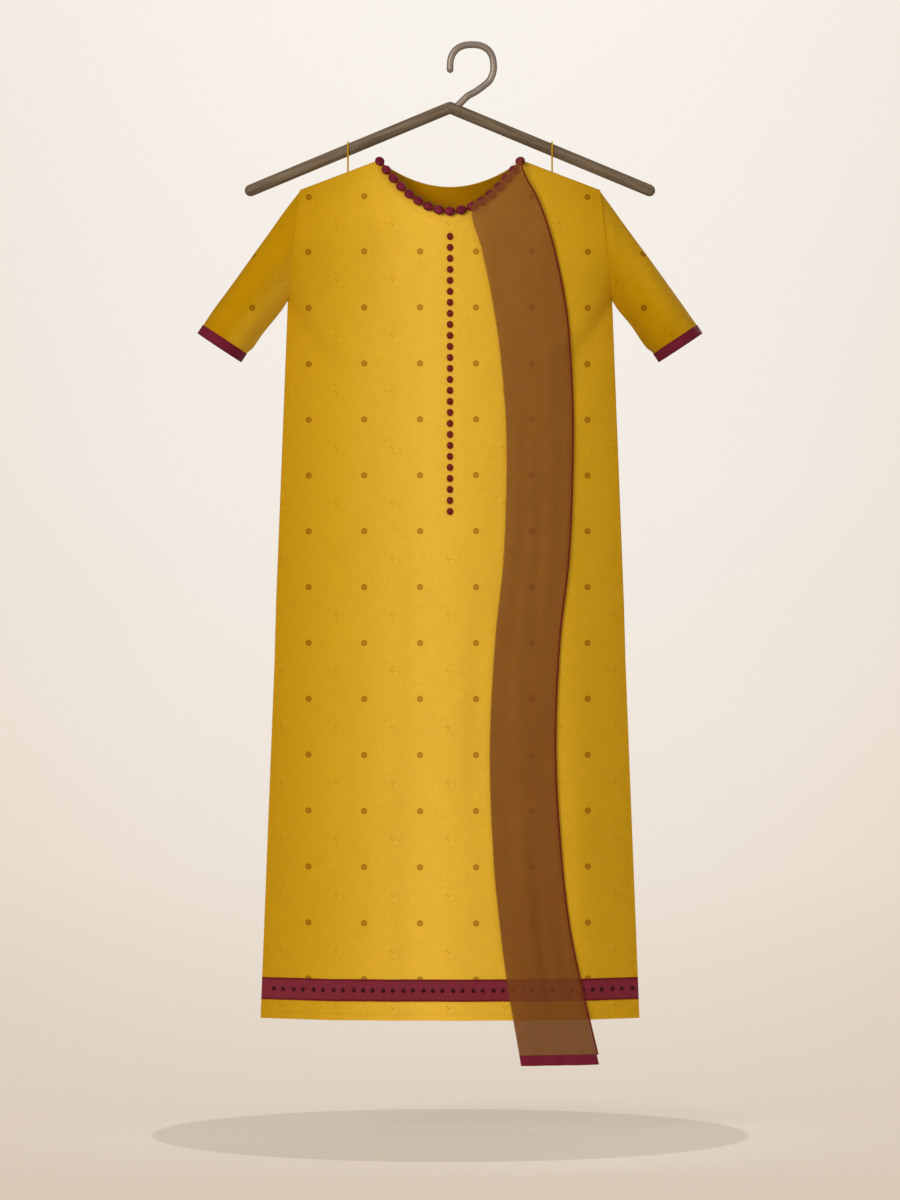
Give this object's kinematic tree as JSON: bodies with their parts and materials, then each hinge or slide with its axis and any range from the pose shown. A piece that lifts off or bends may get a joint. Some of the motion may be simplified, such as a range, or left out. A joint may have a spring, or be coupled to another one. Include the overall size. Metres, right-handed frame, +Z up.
{
  "type": "kameez with dupatta on a clothes hanger",
  "caption": "Short-sleeved knee-length kameez with beaded scoop neck, buttoned front and banded hem, a sheer dupatta over one side, hung under a bent-bar hanger.",
  "frame": {"origin": "inside top of the hanger's hook, where it rests on a rail", "axes": "+Z up, the front of the kameez faces -Y, +X to the right seen from the front"},
  "size_m": [0.6296, 0.1152, 1.281],
  "materials": {
    "gold_cotton": "mustard-gold printed cotton, matt",
    "maroon_trim": "maroon cotton band, matt",
    "maroon_bead": "polished maroon bead",
    "maroon_button": "polished maroon button",
    "brown_sheer": "sheer brown chiffon, folded in layers",
    "dark_wood": "dark stained wood, satin",
    "hook_metal": "warm grey wire, satin"
  },
  "bodies": {
    "root": {"front_panel": "gold_cotton", "back_panel": "gold_cotton", "sleeve_left": "gold_cotton", "sleeve_right": "gold_cotton", "cuff_band_left": "maroon_trim", "cuff_band_right": "maroon_trim", "hem_band_front": "maroon_trim", "hem_band_back": "maroon_trim", "neck_beads": "maroon_bead", "button_01": "maroon_button", "button_02": "maroon_button", "button_03": "maroon_button", "button_04": "maroon_button", "button_05": "maroon_button", "button_06": "maroon_button", "button_07": "maroon_button", "button_08": "maroon_button", "button_09": "maroon_button", "button_10": "maroon_button", "button_11": "maroon_button", "button_12": "maroon_button", "button_13": "maroon_button", "button_14": "maroon_button", "button_15": "maroon_button", "button_16": "maroon_button", "button_17": "maroon_button", "button_18": "maroon_button", "button_19": "maroon_button", "button_20": "maroon_button", "button_21": "maroon_button", "button_22": "maroon_button", "button_23": "maroon_button", "button_24": "maroon_button", "button_25": "maroon_button", "button_26": "maroon_button", "dupatta_front_fall": "brown_sheer", "dupatta_inner_fall": "brown_sheer", "dupatta_end_band": "maroon_trim", "dupatta_selvedge": "maroon_trim", "hanger_arm_left": "dark_wood", "hanger_arm_right": "dark_wood", "hanger_hook": "hook_metal", "hanger_loop_left": "gold_cotton", "hanger_loop_right": "gold_cotton"}
  },
  "joints": []
}
